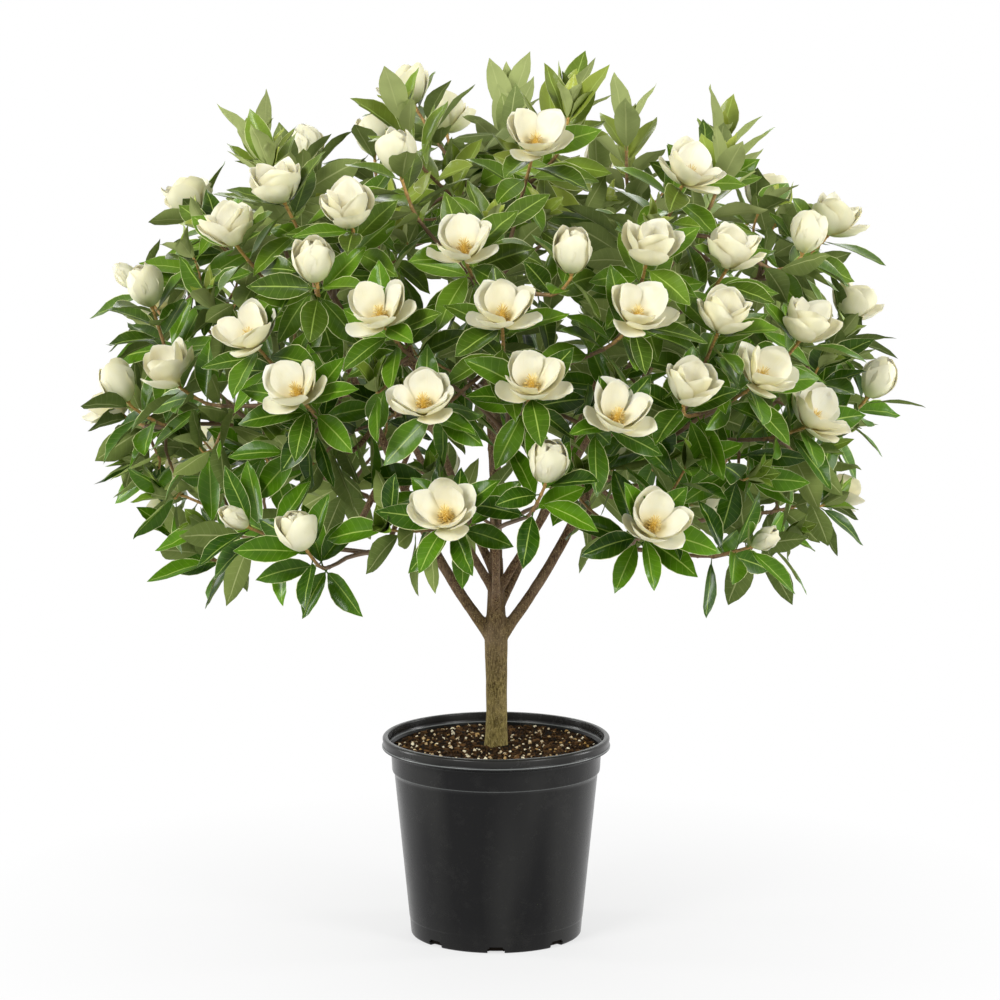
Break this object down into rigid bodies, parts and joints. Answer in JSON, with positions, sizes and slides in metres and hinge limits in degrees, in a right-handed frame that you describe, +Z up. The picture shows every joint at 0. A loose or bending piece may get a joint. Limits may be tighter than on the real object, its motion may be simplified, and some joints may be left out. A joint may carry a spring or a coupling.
{
  "type": "potted sweetbay magnolia",
  "caption": "Small branched evergreen tree with cup-shaped cream flowers and glossy oval leaves, growing in a round black nursery pot of bark mix.",
  "frame": {"origin": "middle of the pot's foot, on the floor", "axes": "+Z up along the trunk, -Y is the front"},
  "size_m": [1.2616, 1.2926, 1.3514],
  "materials": {
    "black_plastic": "satin",
    "potting_mix": "rough bark and perlite",
    "bark": "rough",
    "leaf": "glossy above, pale and matt below",
    "tepal": "waxy"
  },
  "bodies": {
    "root": {"flower_01": "tepal", "flower_02": "tepal", "flower_03": "tepal", "flower_04": "tepal", "flower_05": "tepal", "flower_06": "tepal", "flower_07": "tepal", "flower_08": "tepal", "flower_09": "tepal", "flower_10": "tepal", "flower_11": "tepal", "flower_12": "tepal", "flower_13": "tepal", "flower_14": "tepal", "flower_15": "tepal", "flower_16": "tepal", "flower_17": "tepal", "flower_18": "tepal", "flower_19": "tepal", "flower_20": "tepal", "flower_21": "tepal", "flower_22": "tepal", "flower_23": "tepal", "flower_24": "tepal", "flower_25": "tepal", "flower_26": "tepal", "flower_27": "tepal", "flower_28": "tepal", "flower_29": "tepal", "flower_30": "tepal", "flower_31": "tepal", "flower_32": "tepal", "leafy_branch_high_0": "leaf", "leafy_branch_high_1": "leaf", "leafy_branch_high_2": "leaf", "leafy_branch_high_3": "leaf", "leafy_branch_high_4": "leaf", "leafy_branch_high_5": "leaf", "leafy_branch_high_6": "leaf", "leafy_branch_high_7": "leaf", "leafy_branch_low_0": "leaf", "leafy_branch_low_1": "leaf", "leafy_branch_low_2": "leaf", "leafy_branch_low_3": "leaf", "leafy_branch_low_4": "leaf", "leafy_branch_low_5": "leaf", "leafy_branch_low_6": "leaf", "leafy_branch_low_7": "leaf", "leafy_branch_mid_0": "leaf", "leafy_branch_mid_1": "leaf", "leafy_branch_mid_2": "leaf", "leafy_branch_mid_3": "leaf", "leafy_branch_mid_4": "leaf", "leafy_branch_mid_5": "leaf", "leafy_branch_mid_6": "leaf", "leafy_branch_mid_7": "leaf", "leafy_branch_top_0": "leaf", "nursery_pot": "black_plastic", "potting_mix": "potting_mix", "trunk_and_limbs": "bark"}
  },
  "joints": []
}
